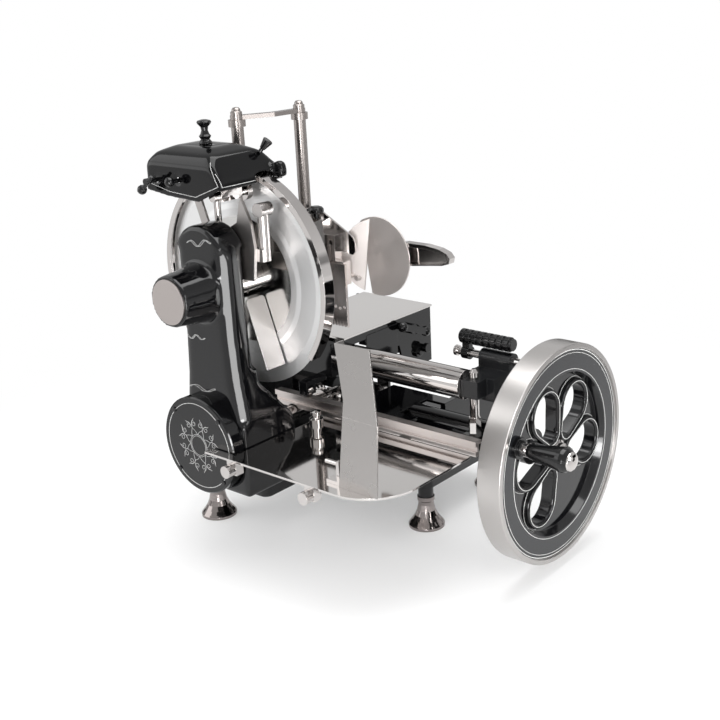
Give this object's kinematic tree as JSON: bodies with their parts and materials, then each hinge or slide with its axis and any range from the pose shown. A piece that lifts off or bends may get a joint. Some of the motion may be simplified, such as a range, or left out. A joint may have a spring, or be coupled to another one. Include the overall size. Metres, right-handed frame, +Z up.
{
  "type": "hand crank meat slicer",
  "caption": "Hand cranked flywheel meat slicer: round guarded blade on an upright column, sliding carriage with meat table and press, slice tray, spoked flywheel with grip and sharpener hood.",
  "frame": {"origin": "on the floor under the middle of the bounding box", "axes": "+X from the blade column to the flywheel, +Y away from the operator's side of the blade, +Z up"},
  "size_m": [0.68, 0.59, 0.65],
  "materials": {
    "black_enamel": "gloss",
    "dark_casting": "satin",
    "flywheel_enamel": "gloss",
    "polished_stainless": "mirror polish",
    "chrome": "bright",
    "brushed_disc": "brushed",
    "machined_steel": "machined",
    "cast_iron": "as cast",
    "bearing_bronze": "machined",
    "black_phenolic": "gloss",
    "black_rubber": "matt",
    "grinding_stone": "rough"
  },
  "bodies": {
    "frame": {"base_casting": "black_enamel", "column_housing": "black_enamel", "gear_cover": "black_enamel", "gear_cover_screws": "machined_steel", "boss_cap": "brushed_disc", "foot_bells": "chrome", "foot_stems": "black_rubber", "slice_tray": "polished_stainless", "tray_clamps": "chrome", "tray_stop_knob": "black_phenolic", "deflector_panel": "polished_stainless", "guard_ring": "polished_stainless", "guard_bracket": "polished_stainless", "slice_deflector": "polished_stainless", "shaft_bearings": "bearing_bronze", "frame_brackets": "dark_casting", "shaft_housing": "black_enamel", "idler_pins": "machined_steel", "guide_tube": "chrome", "tube_pillar": "chrome", "tube_end_bracket": "dark_casting", "index_grip": "black_phenolic", "guide_rails": "machined_steel", "sharpener_stem": "chrome"},
    "flywheel_set": {"flywheel": "flywheel_enamel", "flywheel_hub": "chrome", "handle_pin": "chrome", "main_shaft": "machined_steel"},
    "grip": {"handle_grip": "black_phenolic", "grip_ferrules": "chrome"},
    "cross_shaft_set": {"cross_shaft": "machined_steel", "cross_bevel": "machined_steel", "column_gear_1": "machined_steel", "crank_arm": "cast_iron"},
    "idler_low": {"column_gear_2": "machined_steel"},
    "idler_high": {"column_gear_3": "machined_steel"},
    "blade_set": {"blade_disc": "polished_stainless", "blade_hub": "chrome", "blade_shaft": "machined_steel"},
    "carriage": {"carriage_frame": "dark_casting", "carriage_box": "black_enamel", "carriage_rollers": "machined_steel", "posts": "chrome", "post_bar": "chrome", "post_nuts": "chrome", "lock_knob": "black_phenolic"},
    "feed": {"feed_crank": "black_phenolic"},
    "table": {"table_top": "polished_stainless"},
    "rod": {"connecting_rod": "machined_steel"},
    "press": {"press_crosshead": "brushed_disc", "press_arm": "polished_stainless", "press_knob": "black_phenolic", "toothed_plate": "polished_stainless", "hand_guard": "polished_stainless", "press_handle": "polished_stainless"},
    "sharpener": {"sharpener_hood": "black_enamel", "hood_knobs": "black_phenolic", "sharpener_carrier": "machined_steel"},
    "front_stone_set": {"front_stone": "grinding_stone"},
    "rear_stone_set": {"rear_stone": "grinding_stone"}
  },
  "joints": [
    {"name": "flywheel_turn", "type": "hinge", "parent": "frame", "child": "flywheel_set", "pos_m": [0.2563, 0.0235, 0.1763], "axis": [1, 0, 0], "continuous": true},
    {"name": "grip_turn", "type": "hinge", "parent": "flywheel_set", "child": "grip", "pos_m": [0.3, -0.08795, 0.22592], "axis": [1, 0, 0], "continuous": true},
    {"name": "cross_shaft_turn", "type": "hinge", "parent": "frame", "child": "cross_shaft_set", "pos_m": [-0.1764, 0, 0.1763], "axis": [0, 1, 0], "continuous": true},
    {"name": "idler_low_turn", "type": "hinge", "parent": "frame", "child": "idler_low", "pos_m": [-0.1764, -0.212, 0.2706], "axis": [0, 1, 0], "continuous": true},
    {"name": "idler_high_turn", "type": "hinge", "parent": "frame", "child": "idler_high", "pos_m": [-0.1764, -0.212, 0.3465], "axis": [0, 1, 0], "continuous": true},
    {"name": "blade_turn", "type": "hinge", "parent": "frame", "child": "blade_set", "pos_m": [-0.1764, -0.15, 0.4109], "axis": [0, 1, 0], "continuous": true},
    {"name": "carriage_slide", "type": "slide", "parent": "frame", "child": "carriage", "axis": [1, 0, 0], "range_m": [0, 0.124]},
    {"name": "feed_crank_turn", "type": "hinge", "parent": "carriage", "child": "feed", "pos_m": [-0.0905, 0.131, 0.274], "axis": [1, 0, 0], "range_deg": [0, 2160]},
    {"name": "table_slide", "type": "slide", "parent": "carriage", "child": "table", "axis": [0, -1, 0], "range_m": [0, 0.0299]},
    {"name": "rod_swing", "type": "hinge", "parent": "carriage", "child": "rod", "pos_m": [-0.1234, 0.084, 0.1763], "axis": [0, 1, 0], "range_deg": [-30, 30]},
    {"name": "press_slide", "type": "slide", "parent": "carriage", "child": "press", "axis": [0, 0, 1], "range_m": [-0.005, 0.12]},
    {"name": "sharpener_slide", "type": "slide", "parent": "frame", "child": "sharpener", "axis": [0, 0, 1], "range_m": [0, 0.03]},
    {"name": "front_stone_turn", "type": "hinge", "parent": "sharpener", "child": "front_stone_set", "pos_m": [-0.15, -0.158, 0.545], "axis": [0, 1, 0], "continuous": true},
    {"name": "rear_stone_turn", "type": "hinge", "parent": "sharpener", "child": "rear_stone_set", "pos_m": [-0.181, -0.14, 0.558], "axis": [0, 1, 0], "continuous": true}
  ],
  "couplings": [
    {"joint": "cross_shaft_turn", "follows": "flywheel_turn", "ratio": 1},
    {"joint": "idler_low_turn", "follows": "flywheel_turn", "ratio": -1.4118},
    {"joint": "idler_high_turn", "follows": "flywheel_turn", "ratio": 1.5},
    {"joint": "blade_turn", "follows": "flywheel_turn", "ratio": -2},
    {"joint": "feed_crank_turn", "follows": "table_slide", "rad_per_m": 1257.9}
  ]
}
